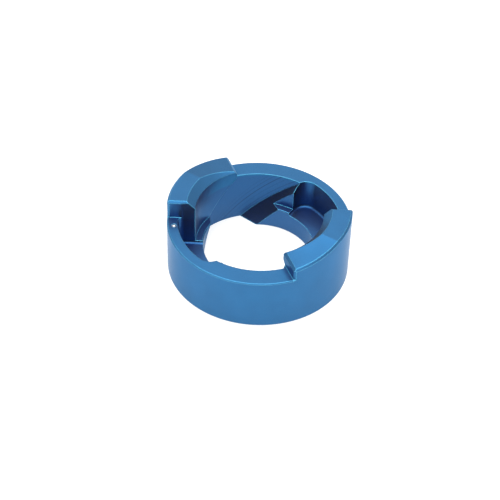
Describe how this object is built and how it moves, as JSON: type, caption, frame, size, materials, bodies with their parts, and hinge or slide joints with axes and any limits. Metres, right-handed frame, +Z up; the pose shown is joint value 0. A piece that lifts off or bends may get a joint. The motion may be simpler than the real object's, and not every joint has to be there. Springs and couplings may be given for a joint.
{
  "type": "bayonet coupling ring",
  "caption": "Short, wide anodised aluminium coupling ring with raised drive jaws, inner lug pockets, helical bayonet channels and sprung ball detents in its thin rim.",
  "frame": {"origin": "ring axis at the bottom face", "axes": "+Z up along the ring axis, towards the jaws; +X through the straight end of one jaw"},
  "size_m": [0.08, 0.08, 0.033],
  "materials": {
    "anodised_body": "satin blue anodised",
    "detent_steel": "bright hardened steel",
    "spring_steel": "plain spring wire"
  },
  "bodies": {
    "ring": {"ring_body": "anodised_body", "detent_sleeve_left": "detent_steel", "detent_sleeve_right": "detent_steel", "detent_spring_left": "spring_steel", "detent_spring_right": "spring_steel"},
    "ball_left": {"detent_ball_left": "detent_steel"},
    "ball_right": {"detent_ball_right": "detent_steel"}
  },
  "joints": [
    {"name": "detent_left_press", "type": "slide", "parent": "ring", "child": "ball_left", "axis": [0, 0, -1], "range_m": [0, 0.0003], "stiffness_N_per_m": 2000, "springref_m": -0.0005, "deforming": ["detent_spring_left"]},
    {"name": "detent_right_press", "type": "slide", "parent": "ring", "child": "ball_right", "axis": [0, 0, -1], "range_m": [0, 0.0003], "stiffness_N_per_m": 2000, "springref_m": -0.0005, "deforming": ["detent_spring_right"]}
  ]
}
